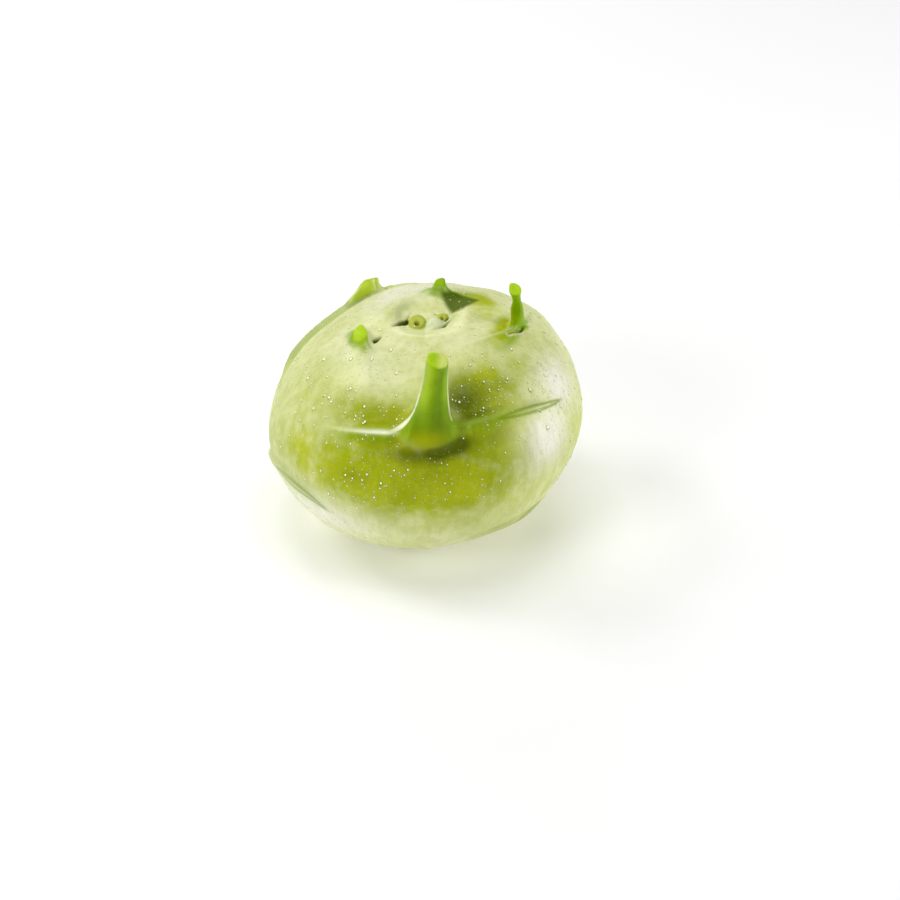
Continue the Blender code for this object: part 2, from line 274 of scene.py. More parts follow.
@dataclass
class Leaf:
    """A leaf base, with its cut stalk. Left and right are as seen from outside, facing the bulb."""

    rank: int  # its turn in the spiral: 0 is the front stalk, and higher is younger
    latitude: float  # of its base, 0 at the widest girth and 90 at the top, in degrees
    left: Wing
    right: Wing
    turn: float = 0.0  # how far it sits from its place in the spiral, in degrees
    length: float = 0.0  # of the stalk, from the skin to the cut, or 0 for a bare scar
    half_width: float = 1.5 * MM  # at the cut
    half_depth: float = 1.5 * MM
    taper: float = 0.06  # how much wider it is at its base, for each length
    rise: float = 80.0  # elevation of the stalk's axis, in degrees
    lean: float = 0.0  # sideways run for each length, to the right
    head: float = 0.0  # how much wider it is at the cut than just below
    cut_slope: float = 0.0  # fall of the cut towards the outer side
    cut_fall: float = 0.0  # and towards the right
    dish: float = 0.3 * MM  # depth of the hollow in the cut
    fan: float = 0.45  # how much more its web spreads on the outer side, next to the stalk
    fresh_and_lit: float = 0.0  # how bright and yellow its green is, partly painted light
    shade: float = 0.0  # how dark the hollow on its inner side is, as painted shadow and shade
    scar: tuple = ()  # first and last swing of its double line, in degrees, and half the gap in it
    dry: float = 0.0  # how brown and shrunk its tip is

    @property
    def rimmed(self):
        return self.head == 0 and self.length > 4.5 * MM

    @property
    def azimuth(self):
        return math.radians(FRONT_AZIMUTH + GOLDEN_ANGLE * self.rank + self.turn)


LEAVES = (
    Leaf(-4, -44, Wing(30, 3), Wing(30, 3), scar=(-14, 14, 1.2 * MM)),
    Leaf(-3, -31, Wing(38, 4), Wing(34, 4), scar=(-13, 13, 1.3 * MM)),
    Leaf(-2, -15, Wing(34, 4), Wing(64, 12, 8), scar=(18, 46, 0.9 * MM)),
    Leaf(-1, 12, Wing(45, 8, 3), Wing(40, 10, 2), length=3 * MM, half_width=3.2 * MM, half_depth=2.4 * MM,
         rise=50, cut_slope=0.2, dish=0.6 * MM),
    Leaf(0, 31.5, Wing(50, 9, 0, 1.6 * MM, 5.5 * MM, 1.0, 1.0, 1.5),
         Wing(67, 6, 3.5, 0.9 * MM, 3.5 * MM, 0.05, 0.7), turn=2, length=27 * MM,
         half_width=2.9 * MM, half_depth=3.0 * MM, taper=0.13, rise=78, lean=0.08, cut_slope=0.15,
         cut_fall=0.25, dish=0.5 * MM, scar=(30, 64, 0.75 * MM)),
    Leaf(1, 44, Wing(45, 6, 3, 0.8 * MM, 3 * MM),
         Wing(60, 27, 10, 1.3 * MM, 9 * MM, 0.3, 1.0, 1.05, 0.5, 0.85), turn=-14, length=5 * MM,
         half_width=1.4 * MM, half_depth=1.6 * MM, taper=0.16, rise=76, cut_slope=0.3, fresh_and_lit=0.7),
    Leaf(2, 55.3, Wing(62, -9, 6, 0.7 * MM, 5 * MM), Wing(35, 16, 0, 0.6 * MM, 1.5 * MM), turn=2,
         length=12.3 * MM, half_width=1.35 * MM, half_depth=1.35 * MM, taper=0.0, rise=97, head=1.0 * MM,
         cut_slope=0.35, cut_fall=-0.35, fan=0.0),
    Leaf(3, 63, Wing(25, 3, 0, 0.4 * MM), Wing(30, 4, 0, 0.4 * MM), turn=-11.5, length=2.6 * MM,
         half_width=1.9 * MM, half_depth=1.6 * MM, taper=0.2, rise=84, cut_slope=0.9, cut_fall=0.4, dish=0.0,
         fan=0.1, fresh_and_lit=0.5),
    Leaf(4, 75, Wing(45, 9, 0, 0.9 * MM, 3 * MM, 0.1, 1.0, 1.1),
         Wing(50, -2, 0, 0.6 * MM, 1.5 * MM), turn=-9.5, length=3.6 * MM, half_width=1.3 * MM,
         half_depth=1.2 * MM, taper=0.3, rise=84, cut_slope=-0.6, dish=0.0, dry=0.8, shade=1.0),
    Leaf(5, 81, Wing(35, 1), Wing(95, 3)),
    Leaf(6, 79, Wing(60, -4), Wing(35, 0)),
)


def smooth_union(first, second, size):
    """The lower of two fields, with the corner between them filled to about this size."""
    near = np.clip(size - np.abs(first - second), 0, None)
    return np.minimum(first, second) - near**2 / (4 * size)


def smooth_cut(first, second, size):
    """The higher of two fields, with the corner between them rounded to about this size."""
    return -smooth_union(-first, -second, size)


def fade(value, start, end):
    """1 before start, 0 past end, and smooth between them."""
    share = np.clip((value - start) / (end - start), 0, 1)
    return 1 - share * share * (3 - 2 * share)


def bell(value, width):
    return np.exp(-((value / width) ** 2))


def wrapped(angle):
    return (angle + math.pi) % (2 * math.pi) - math.pi


def bulb_radius(direction):
    """Distance from the bulb's middle to its plain skin."""
    x, y, z = direction
    level = z - BULB_TILT * x
    return 1 / np.sqrt((x * x + y * y) / BULB_RADIUS**2 + (level / BULB_HALF_HEIGHT) ** 2)


def skin_point(azimuth, latitude):
    """Distance from the upright axis, and height over the bulb's middle, of a place on the plain skin."""
    flat = BULB_RADIUS * np.cos(latitude)
    up = BULB_HALF_HEIGHT * np.sin(latitude)
    direction = np.stack([flat * np.cos(azimuth), flat * np.sin(azimuth), up])
    direction = direction / np.linalg.norm(direction, axis=0)
    radius = bulb_radius(direction)
    return radius * np.hypot(direction[0], direction[1]), radius * direction[2]


def angles(x, y, z):
    """Azimuth and latitude of points, with z from the bulb's middle."""
    return np.arctan2(y, x), np.arctan2(z / BULB_HALF_HEIGHT, np.hypot(x, y) / BULB_RADIUS)


def arc_of(latitude):
    """Length along the skin for each radian of latitude."""
    return np.hypot(BULB_RADIUS * np.sin(latitude), BULB_HALF_HEIGHT * np.cos(latitude))


def by_side(leaf, place, name):
    """A value of the leaf's left wing where the place is negative, and of its right wing elsewhere."""
    return np.where(place < 0, getattr(leaf.left, name), getattr(leaf.right, name))


def wing_line(leaf, swing):
    """Latitude and height of the leaf's crest at a swing round the bulb from its base."""
    latitude = 0.0
    crest = 0.0
    base_half_width = leaf.half_width + leaf.taper * leaf.length
    beside = np.abs(swing) * BULB_RADIUS * math.cos(math.radians(leaf.latitude)) - base_half_width
    for wing, on_side in ((leaf.left, swing < 0), (leaf.right, swing >= 0)):
        share = np.abs(swing) / math.radians(wing.reach)
        arch = wing.bow * np.sin(math.pi * np.clip(share, 0, 1)) - wing.drop * np.clip(share, 0, 1.3) ** 2
        latitude = latitude + on_side * np.radians(leaf.latitude + arch)
        rise = 1 - fade(beside, 0, wing.fillet) if leaf.length else 1.0
        crest = crest + on_side * wing.crest * rise * fade(share, wing.hold, 1.0)
    return latitude, crest


def scar_lines(leaf, swing, above):
    """How near a point is to the two lines of a leaf scar, 1 on a line. They close to a lens at its ends."""
    first, last, half_gap = leaf.scar
    share = (np.degrees(swing) - first) / (last - first)
    opening = half_gap * np.sin(math.pi * np.clip(share, 0, 1)) ** 0.6
    middle = -0.6 * half_gap
    line = bell(np.abs(above - middle) - opening, LINE_HALF_WIDTH)
    return line * fade(np.abs(share - 0.5), 0.45, 0.62)


def wing_relief(leaf, swing, latitude):
    """Height of a leaf base over the plain skin: sharp above, sloping below, with a crease on top."""
    line, crest = wing_line(leaf, swing)
    above = (latitude - line) * arc_of(latitude)
    foot = 0.0
    underside = WING_UNDERSIDE
    if leaf.length:
        foot_width = FOOT_WIDTH * leaf.half_width / BULB_RADIUS / np.cos(line)
        foot = FOOT_HEIGHT * leaf.half_width * bell(swing, foot_width)
        underside = WING_UNDERSIDE + FOOT_FALL * foot
    below = bell(above, underside)
    profile = np.where(above < 0, below, fade(above, 0, WING_STEP + foot))
    crease = WING_CREASE * bell(above - 1.6 * WING_STEP, WING_STEP)
    bead = RIM_HEIGHT * np.clip(crest / MM - 0.6, 0, 1) * bell(above, RIM_RADIUS)
    relief = (crest + foot) * profile + bead - crest * crease
    if leaf.scar:
        relief = relief - LINE_DEPTH * scar_lines(leaf, swing, above)
    return relief


def swelling_relief(swelling, azimuth, latitude):
    round_bulb = wrapped(azimuth - math.radians(swelling.azimuth)) * np.cos(latitude)
    up_bulb = latitude - math.radians(swelling.latitude)
    away = BULB_RADIUS * np.hypot(round_bulb, up_bulb)
    return swelling.height * MM * bell(away, swelling.spread * MM)


def crown_relief(x, y):
    """The bulb's top, sunk round the growing point."""
    away = np.hypot(x - CROWN[0], y - CROWN[1])
    return -CROWN_DEPTH * fade(away, CROWN_FLOOR, CROWN_BRIM)


def wave_set():
    """Wave vectors and phases of the skin's slow unevenness."""
    draw = np.random.default_rng(WAVE_SEED)
    directions = draw.normal(size=(WAVES, 3))
    directions /= np.linalg.norm(directions, axis=1)[:, None]
    lengths = draw.uniform(*WAVE_LENGTHS, WAVES)
    return directions * (2 * math.pi / lengths)[:, None], draw.uniform(0, 2 * math.pi, WAVES)


WAVE_VECTORS, WAVE_PHASES = wave_set()


def waves(x, y, z):
    total = 0.0
    for vector, phase in zip(WAVE_VECTORS, WAVE_PHASES):
        total = total + np.sin(vector[0] * x + vector[1] * y + vector[2] * z + phase)
    return WAVE_HEIGHT * total


def bulb_field(x, y, z):
    """The bulb with its relief. z is from the bulb's middle."""
    reach = np.sqrt(x * x + y * y + z * z) + 1e-9
    radius = bulb_radius((x / reach, y / reach, z / reach))
    azimuth, latitude = angles(x, y, z)
    radius = radius + waves(x, y, z)
    for swelling in SWELLINGS:
        radius = radius + swelling_relief(swelling, azimuth, latitude)
    for leaf in LEAVES:
        swing = wrapped(azimuth - leaf.azimuth)
        near = (swing > -math.radians(leaf.left.reach)) & (swing < math.radians(leaf.right.reach))
        radius[near] += wing_relief(leaf, swing[near], latitude[near])
    sunk = np.where(z > 0, crown_relief(x, y), 0.0)
    return reach - radius - sunk


def stalk_place(leaf, out, up):
    """How far up the stalk a point lies and how far to the stalk's outer side, in its upright plane."""
    base_out, base_up = skin_point(leaf.azimuth, math.radians(leaf.latitude))
    rise = math.radians(leaf.rise)
    out = out - base_out
    up = up - base_up
    return out * math.cos(rise) + up * math.sin(rise), out * math.sin(rise) - up * math.cos(rise)


def leaf_parts(leaf, x, y, z):
    """A cut leaf stalk, the web at its foot, the bead along their edges and the cut, bent round the bulb."""
    swing = wrapped(np.arctan2(y, x) - leaf.azimuth)
    out = np.hypot(x, y)
    along, outward = stalk_place(leaf, out, z)
    to_cut = leaf.length - along
    sideways = swing * out - leaf.lean * along
    below_cut = np.clip(to_cut, 0, leaf.length + 0.5 * STALK_ROOT)
    widening = leaf.taper * below_cut**2 / leaf.length + leaf.head * fade(to_cut, 0, HEAD_LENGTH)
    half_width = leaf.half_width + widening
    half_depth = leaf.half_depth + 0.7 * widening
    aside = np.abs(sideways)

    stalk = (np.hypot(sideways / half_width, outward / half_depth) - 1) * half_depth
    stalk = smooth_cut(stalk, -outward - STALK_BACK * half_depth, CUT_ROUNDING)
    groove = bell(sideways / half_width - GROOVE_PLACE, GROOVE_WIDTH) * (outward > 0)
    groove = groove * fade(-to_cut, -3 * MM, -1 * MM)
    stalk = stalk + GROOVE_DEPTH * leaf.half_width / (3 * MM) * groove + ROOT_TAPER * np.clip(-along, 0, None)
    inward = (outward / half_depth - (1 - STALK_BACK) / 2) / ((1 + STALK_BACK) / 2)
    bowl = fade(np.hypot(sideways / half_width, inward), 0.2, 0.9)
    cut = leaf.cut_slope * outward + leaf.cut_fall * sideways - to_cut + leaf.dish * bowl

    line, crest = wing_line(leaf, swing)
    line_out, line_up = skin_point(leaf.azimuth + swing, line)
    fillet = by_side(leaf, sideways, "fillet")
    stretch = by_side(leaf, sideways, "stretch")
    gap = np.clip(fillet - np.clip(aside - half_width, 0, None), 0, None)
    lift = 1 + crest / np.hypot(line_out, line_up)
    edge_along, edge_outward = stalk_place(leaf, line_out * lift, line_up * lift)
    straight = by_side(leaf, sideways, "straight")
    bend = straight * gap + (1 - straight) * (fillet - np.sqrt(fillet**2 - gap**2))
    edge_along = edge_along + stretch * bend
    below_edge = edge_along - along
    spread = WEB_SPREAD + leaf.fan * (outward > edge_outward) * gap / fillet
    web = np.abs(outward - edge_outward) - WEB_HALF_THICKNESS - spread * np.clip(below_edge, 0, fillet)
    web = smooth_cut(web, -below_edge, WEB_HALF_THICKNESS)
    web = smooth_cut(web, aside - half_width - fillet, WEB_MELT)

    stalk_bead = np.hypot(aside - half_width + BEAD_SINK * RIM_RADIUS, outward) - RIM_RADIUS
    stalk_bead = np.maximum(stalk_bead, stretch * fillet + crest - along)
    stalk_bead = stalk_bead + RIM_RADIUS * fade(to_cut, 0, BEAD_END)
    steep = stretch * gap / np.sqrt(np.clip(fillet**2 - gap**2, (0.25 * fillet) ** 2, None))
    steep = straight * stretch + (1 - straight) * steep
    beyond = below_edge / np.hypot(1, steep) - BEAD_SINK * RIM_RADIUS
    web_bead = np.hypot(beyond, outward - edge_outward) - RIM_RADIUS
    white = by_side(leaf, sideways, "pale")
    web_bead = web_bead + RIM_RADIUS * (1 - white) * fade(gap / fillet, 0.1, 0.6)
    web_bead = np.maximum(web_bead, aside - half_width - fillet)
    bead = np.minimum(stalk_bead, web_bead)
    behind = edge_outward - outward
    return Parts(stalk, web, bead, cut, along, sideways / half_width, behind, 1 - gap / fillet)


def near_leaf(leaf, x, y, z):
    """The points close enough to a leaf's stalk and web to be changed by them."""
    base_out, base_up = skin_point(leaf.azimuth, math.radians(leaf.latitude))
    base_x = base_out * math.cos(leaf.azimuth)
    base_y = base_out * math.sin(leaf.azimuth)
    reach = leaf.length + max(leaf.left.fillet, leaf.right.fillet) + 2.5 * leaf.half_width + 4 * MM
    away = (x - base_x) ** 2 + (y - base_y) ** 2 + (z - base_up) ** 2
    return away < reach**2


def add_leaf(field, leaf, x, y, z):
    parts = leaf_parts(leaf, x, y, z)
    body = smooth_union(parts.stalk, parts.web, BODY_MELT)
    if leaf.rimmed:
        body = smooth_union(body, parts.bead, RIM_MELT)
    body = np.maximum(smooth_cut(body, parts.cut, CUT_ROUNDING), -parts.along - STALK_ROOT)
    melt = WEB_MELT + (STALK_MELT * leaf.half_width - WEB_MELT) * fade(np.abs(parts.sideways), 1.0, 2.2)
    return smooth_union(field, body, melt)


def bud_field(bud, x, y, z):
    centre = bud.top - bud.radius
    down = np.clip(z - centre, -BUD_LENGTH, 0)
    away = np.hypot(x - CROWN[0] - bud.x, y - CROWN[1] - bud.y)
    body = np.hypot(away, z - centre - down) - bud.radius
    if bud.hollow:
        cut = z - bud.top + BUD_CUT * bud.radius - BUD_LEAN * (y - CROWN[1] - bud.y)
        body = smooth_cut(body, cut, SLIT_MELT)
    return body


def bud_hollow(bud, x, y, z):
    """The open pipe in a cut bud."""
    away = np.hypot(x - CROWN[0] - bud.x, y - CROWN[1] - bud.y + HOLLOW_FRONT * bud.radius)
    return np.maximum(away - bud.hollow, bud.top - 1.5 * bud.radius - z)


def slit_field(slit, x, y, skin):
    """Negative in the gap, which goes down from the skin to the slit's depth."""
    start = MM * np.array(slit.start) + CROWN
    run = MM * np.array(slit.end) + CROWN - start
    share = np.clip(((x - start[0]) * run[0] + (y - start[1]) * run[1]) / (run @ run), 0, 1)
    away = np.hypot(x - start[0] - share * run[0], y - start[1] - share * run[1])
    first, last = (MM * half_width for half_width in slit.half_widths)
    half_width = first + share * (last - first)
    deep = slit.depth * MM * np.clip(half_width / max(first, last), 0.3, 1)
    return smooth_cut(away - half_width, -skin - deep, SLIT_MELT)


def kohlrabi_field(points):
    """Signed distance, near the skin, of points in a 3 by n array."""
    x, y = points[0], points[1]
    z = points[2] - CENTRE_HEIGHT
    field = bulb_field(x, y, z)
    for leaf in LEAVES:
        if leaf.length:
            near = near_leaf(leaf, x, y, z)
            field[near] = add_leaf(field[near], leaf, x[near], y[near], z[near])
    top = z > 0.6 * BULB_HALF_HEIGHT
    field[top] = add_crown(field[top], x[top], y[top], z[top])
    return smooth_cut(field, -points[2], BASE_ROUNDING)


def add_crown(field, x, y, z):
    """The buds of the growing point, and the gaps between the leaf bases round them."""
    for slit in SLITS:
        field = smooth_cut(field, -slit_field(slit, x, y, field), SLIT_MELT)
    for bud in BUDS:
        field = smooth_union(field, bud_field(bud, x, y, z), BUD_MELT)
    for bud in BUDS:
        if bud.hollow:
            field = smooth_cut(field, -bud_hollow(bud, x, y, z), SLIT_MELT)
    return field


def fill_pinches(values):
    """Fills gaps narrower than the grid, where two sheets of the surface would share an edge."""
    barely_inside = -1e-3 * MM
    for first, second in ((0, 1), (1, 2), (2, 0)):
        corners = []
        for shift_first, shift_second in ((0, 0), (1, 0), (1, 1), (0, 1)):
            window = [slice(None)] * 3
            window[first] = slice(shift_first, values.shape[first] - 1 + shift_first)
            window[second] = slice(shift_second, values.shape[second] - 1 + shift_second)
            corners.append(values[tuple(window)])
        inside = [corner < 0 for corner in corners]
        crossed = (inside[0] == inside[2]) & (inside[1] == inside[3]) & (inside[0] != inside[1])
        corners[0][crossed & ~inside[0]] = barely_inside
        corners[1][crossed & ~inside[1]] = barely_inside


def surface_net(values, low, step):
    """Vertices and four-sided faces where a grid of field values changes sign."""
    rings = []
    crossings = []
    for axis in range(3):
        near = [slice(None)] * 3
        far = [slice(None)] * 3
        near[axis] = slice(None, -1)
        far[axis] = slice(1, None)
        start, end = values[tuple(near)], values[tuple(far)]
        cells = np.argwhere((start < 0) != (end < 0))
        start, end = start[tuple(cells.T)], end[tuple(cells.T)]
        crossing = cells.astype(float)
        crossing[:, axis] += start / (start - end)
        side = np.eye(3, dtype=int)[(axis + 1) % 3]
        other = np.eye(3, dtype=int)[(axis + 2) % 3]
        ring = np.stack([cells, cells - side, cells - side - other, cells - other], axis=1)
        ring[start >= 0] = ring[start >= 0][:, ::-1]
        rings.append(ring)
        crossings.append(crossing)
    rings = np.concatenate(rings)
    crossings = np.repeat(np.concatenate(crossings), 4, axis=0)
    names = np.ravel_multi_index(rings.reshape(-1, 3).T, values.shape)
    _, corner = np.unique(names, return_inverse=True)
    count = np.bincount(corner)
    vertices = [low[k] + step * np.bincount(corner, crossings[:, k]) / count for k in range(3)]
    return np.stack(vertices), corner.reshape(-1, 4)


def slope_at(points):
    """The field's gradient."""
    slope = []
    for axis in range(3):
        offset = np.zeros((3, 1))
        offset[axis] = SLOPE_STEP
        rise = kohlrabi_field(points + offset) - kohlrabi_field(points - offset)
        slope.append(rise / (2 * SLOPE_STEP))
    return np.stack(slope)


def settled(points, rounds):
    """The points moved along the field's slope onto its zero surface."""
    for _ in range(rounds):
        slope = slope_at(points)
        move = kohlrabi_field(points) * slope / np.clip((slope**2).sum(axis=0), 0.2, None)
        points = points - np.clip(move, -MESH_STEP, MESH_STEP)
    points[2][points[2] < 0.5 * SLOPE_STEP] = 0
    return points


def field_grid():
    """Field values on a fine grid, worked out only near the skin, and the grid's lowest corner."""
    low = np.array(SOLID_LOW) - MESH_ROOM
    high = np.array(SOLID_HIGH) + MESH_ROOM
    coarse_step = COARSE_STEPS * MESH_STEP
    counts = np.ceil((high - low) / coarse_step).astype(int) + 1
    axes = [low[k] + coarse_step * np.arange(counts[k]) for k in range(3)]
    points = np.stack(np.meshgrid(*axes, indexing="ij"))
    coarse = kohlrabi_field(points.reshape(3, -1)).reshape(counts)
    values = coarse
    for axis in range(3):
        values = np.repeat(values, COARSE_STEPS, axis=axis)
    near = np.argwhere(np.abs(values) < COARSE_REACH * math.sqrt(3) * coarse_step)
    middle = (COARSE_STEPS - 1) / 2
    corner = low - middle * MESH_STEP
    fine = corner[:, None] + MESH_STEP * near.T
    values[tuple(near.T)] = kohlrabi_field(fine)
    return values, corner


def kohlrabi_mesh():
    """The skin as a closed mesh, thinned where it is smooth."""
    values, low = field_grid()
    for _ in range(PINCH_ROUNDS):
        fill_pinches(values)
    vertices, faces = surface_net(values, low, MESH_STEP)
    vertices = settled(vertices, 1)
    mesh = bpy.data.meshes.new("kohlrabi_skin")
    mesh.from_pydata(vertices.T.tolist(), [], faces.tolist())
    skin = add_object("kohlrabi_skin", mesh)
    if 2 * len(faces) > MOST_TRIANGLES:
        thin = skin.modifiers.new("thin", "DECIMATE")
        thin.ratio = MOST_TRIANGLES / (2 * len(faces))
        graph = bpy.context.evaluated_depsgraph_get()
        thinned = bpy.data.meshes.new_from_object(skin.evaluated_get(graph))
        skin.modifiers.clear()
        skin.data = thinned
        bpy.data.meshes.remove(mesh)
        thinned.name = "kohlrabi_skin"
    return skin


def add_object(name, data):
    made = bpy.data.objects.new(name, data)
    bpy.context.collection.objects.link(made)
    return made


def face(thing, place, back):
    """Puts a camera or a lamp at a place, with its back to this direction."""
    thing.location = place
    thing.rotation_mode = "QUATERNION"
    thing.rotation_quaternion = back.to_track_quat("Z", "Y")


def mesh_points(mesh):
    points = np.empty(3 * len(mesh.vertices))
    mesh.vertices.foreach_get("co", points)
    return points.reshape(-1, 3).T


def set_mark(mesh, name, values):
    mark = mesh.attributes.new(name, "FLOAT", "POINT")
    mark.data.foreach_set("value", np.clip(values, 0, 1).astype(np.float32))


class Marks(dict):
    """How green, pale, cut, dry and so on each point is: 0 is not at all, and 1 or more is fully."""

    def add(self, name, values):
        self[name] = np.maximum(self.get(name, 0.0), values)


# The corners of the painted shadow and shade in the hollow inside the back leaf base, going round clockwise,
# from the growing point
SHADE_CORNERS = ((1.4 * MM, 14.5 * MM), (15 * MM, 9.5 * MM), (9.8 * MM, 3.2 * MM), (6.2 * MM, 2.2 * MM))


def inside_corners(corners, x, y):
    """How far inside a shape with straight sides a point is, in plan."""
    depth = np.inf
    for start, end in zip(corners, corners[1:] + corners[:1]):
        run = np.array(end) - start
        right = (y - CROWN[1] - start[1]) * run[0] - (x - CROWN[0] - start[0]) * run[1]
        depth = np.minimum(depth, -right / np.hypot(*run))
    return depth


def leaf_marks(leaf, x, y, z, marks):
    """Adds a leaf's green, the painted highlights on its rims, its painted shade, its cut and its dry tip to
    the marks.
    """
    azimuth, latitude = angles(x, y, z)
    swing = wrapped(azimuth - leaf.azimuth)
    line, crest = wing_line(leaf, swing)
    above = (latitude - line) * arc_of(latitude)
    height = crest / by_side(leaf, swing, "crest")
    green = height * by_side(leaf, swing, "green")
    pale = height * by_side(leaf, swing, "pale")
    marks.add("green", green * bell(above + 0.5 * MM, 2.0 * MM))
    # Painted highlight along the crest of the wing
    rim_highlight = pale * bell(above - 0.3 * MM, 0.6 * MM)
    if leaf.scar:
        marks.add("line", scar_lines(leaf, swing, above))
    if not leaf.length:
        marks.add("rim_highlight", rim_highlight)
        return
    parts = leaf_parts(leaf, x, y, z)
    marks.add("rim_highlight", rim_highlight * fade(-np.abs(parts.sideways), -1.3, -0.8))
    low, high = (0.5, 1.0) if leaf.rimmed else (1.3, 0.3)
    near = near_leaf(leaf, x, y, z) * fade(-parts.along, -high * leaf.half_width, low * leaf.half_width)
    body = np.minimum(parts.stalk, parts.web)
    outside = fade(parts.behind, 0.5 * MM, 1.3 * MM)
    marks.add("green", near * outside * fade(body, 0.2 * MM, 1.6 * leaf.half_width))
    marks.add("green", near * fade(body, 0, 0.5 * MM))
    marks.add("fresh_and_lit", leaf.fresh_and_lit * near * fade(body, 0, 1.0 * MM))
    foot = 2 * MM * fade(parts.along, 0, 8 * MM) * np.maximum(0.6 * leaf.shade, outside)
    on_stalk = near * fade(parts.stalk, 0.1 * MM, 0.7 * MM + foot)
    marks.add("stalk", on_stalk)
    if leaf.rimmed:
        # Painted shade along the groove of the stalk
        marks.add("furrow_shade", on_stalk * bell(parts.sideways - 0.3, 0.35))
        # Painted light on the lit left side of the stalk's upper part
        upper = fade(-parts.along, -0.55 * leaf.length, -0.25 * leaf.length)
        marks.add("fresh_and_lit", 0.4 * upper * on_stalk * bell(parts.sideways + 0.75, 0.4))
        # Painted shade on the lower stalk, towards its foot
        lower = (1 - upper) * near * fade(body, 0.2 * MM, 2 * MM) * fade(-parts.sideways, 0.7, 1.2)
        marks.add("shade", 0.45 * lower)
        # Painted highlight along the edges of the stalk and its web
        white = by_side(leaf, parts.sideways, "pale")
        spread = 0.4 * MM * white * fade(parts.along, 0, 0.4 * leaf.length)
        edge = fade(parts.bead, 0.08 * MM + spread, 0.4 * MM + spread)
        edge = edge * fade(parts.along, 0.25 * leaf.length, 1.3 * leaf.length)
        edge = edge * (white + (1 - white) * fade(parts.corner, 0.6, 1.0))
        marks.add("rim_highlight", near * edge)
    # Painted shadow and shade in the hollow inside the back leaf base
    if leaf.shade:
        inside = fade(-inside_corners(SHADE_CORNERS, x, y), -1.2 * MM, 0.4 * MM)
        inside = inside * (1 - fade(above, -0.1 * MM, 0.3 * MM))
        marks.add("shade", leaf.shade * inside * fade(parts.along, 0.6 * MM, 2 * MM))
    on_cut = near * fade(np.abs(parts.cut), 0.15 * MM, 0.5 * MM) * fade(parts.stalk, 0.1 * MM, 0.4 * MM)
    marks.add("cut", on_cut * (1 - leaf.dry))
    marks.add("pith", on_cut * fade(-parts.sideways, -0.5, 0.3) * leaf.rimmed)
    tip = fade(-parts.along, -1.3 * leaf.length, -1.05 * leaf.length)
    marks.add("dry", leaf.dry * near * tip * fade(parts.stalk, 0, MM))


def crown_marks(x, y, z, marks):
    skin = bulb_field(x, y, z)
    for slit in SLITS:
        gap = slit_field(slit, x, y, np.zeros_like(x))
        outer = fade(skin, 0, 0.3 * MM)
        inside = fade(gap, -0.1 * MM, 0.4 * MM) * outer
        deep = inside * fade(skin, -1.0 * MM, -0.1 * MM)
        # Painted shade deep in the slit
        marks.add("gap", deep)
        marks.add("dry", slit.dry * inside)
        # Painted highlight on the slit's lips
        marks.add("rim_highlight", slit.pale * bell(gap - 0.45 * MM, 0.25 * MM) * outer)
    for bud in BUDS:
        field = bud_field(bud, x, y, z)
        body = fade(field, 0, 0.8 * MM)
        if bud.hollow:
            marks.add("ring", body)
            hollow = fade(bud_hollow(bud, x, y, z), -0.1 * MM, 0.25 * MM)
            # Painted shade down in the cut bud's pipe
            marks.add("gap", hollow * fade(-field, -0.5 * MM, -0.1 * MM))
        else:
            marks.add("bud", body)


def patches(places, azimuth, latitude):
    """How far each point is inside any of the patches."""
    total = 0.0
    for place in places:
        across = BULB_RADIUS * wrapped(azimuth - math.radians(place.azimuth)) * np.cos(latitude)
        up = BULB_RADIUS * (latitude - math.radians(place.latitude))
        away = np.hypot(across / (place.wide * MM), up / (place.tall * MM))
        total = np.maximum(total, place.strength * bell(away, 1))
    return total


def patch_marks(x, y, z, marks):
    azimuth, latitude = angles(x, y, z)
    middle = math.radians((BELT_TOP + BELT_BOTTOM) / 2)
    belt = BELT_STRENGTH * bell(latitude - middle, math.radians((BELT_TOP - BELT_BOTTOM) / 2))
    marks.add("olive", belt)
    for name, places in (
        ("olive", OLIVE_PATCHES),
        ("deep", DEEP_GREEN_AND_SHADE_PATCHES),
        ("green", GREEN_PATCHES),
        ("bloom_and_highlight", BLOOM_AND_HIGHLIGHT_PATCHES),
        ("yellow", YELLOW_PATCHES),
    ):
        marks.add(name, patches(places, azimuth, latitude))


def mark_skin(mesh):
    """Writes how green, pale, cut, dry and so on each place of the skin is, painted highlights and painted
    shade among them.
    """
    x, y, z = mesh_points(mesh)
    marks = Marks()
    marks.add("root", fade(z, 0.15 * MM, 0.9 * MM) * fade(np.hypot(x, y), 24 * MM, 26 * MM))
    z = z - CENTRE_HEIGHT
    for leaf in LEAVES:
        leaf_marks(leaf, x, y, z, marks)
    crown_marks(x, y, z, marks)
    patch_marks(x, y, z, marks)
    # No painted rim highlight where the painted shade lies
    marks["rim_highlight"] = marks["rim_highlight"] * (1 - marks["shade"])
    for name, values in marks.items():
        set_mark(mesh, name, values)


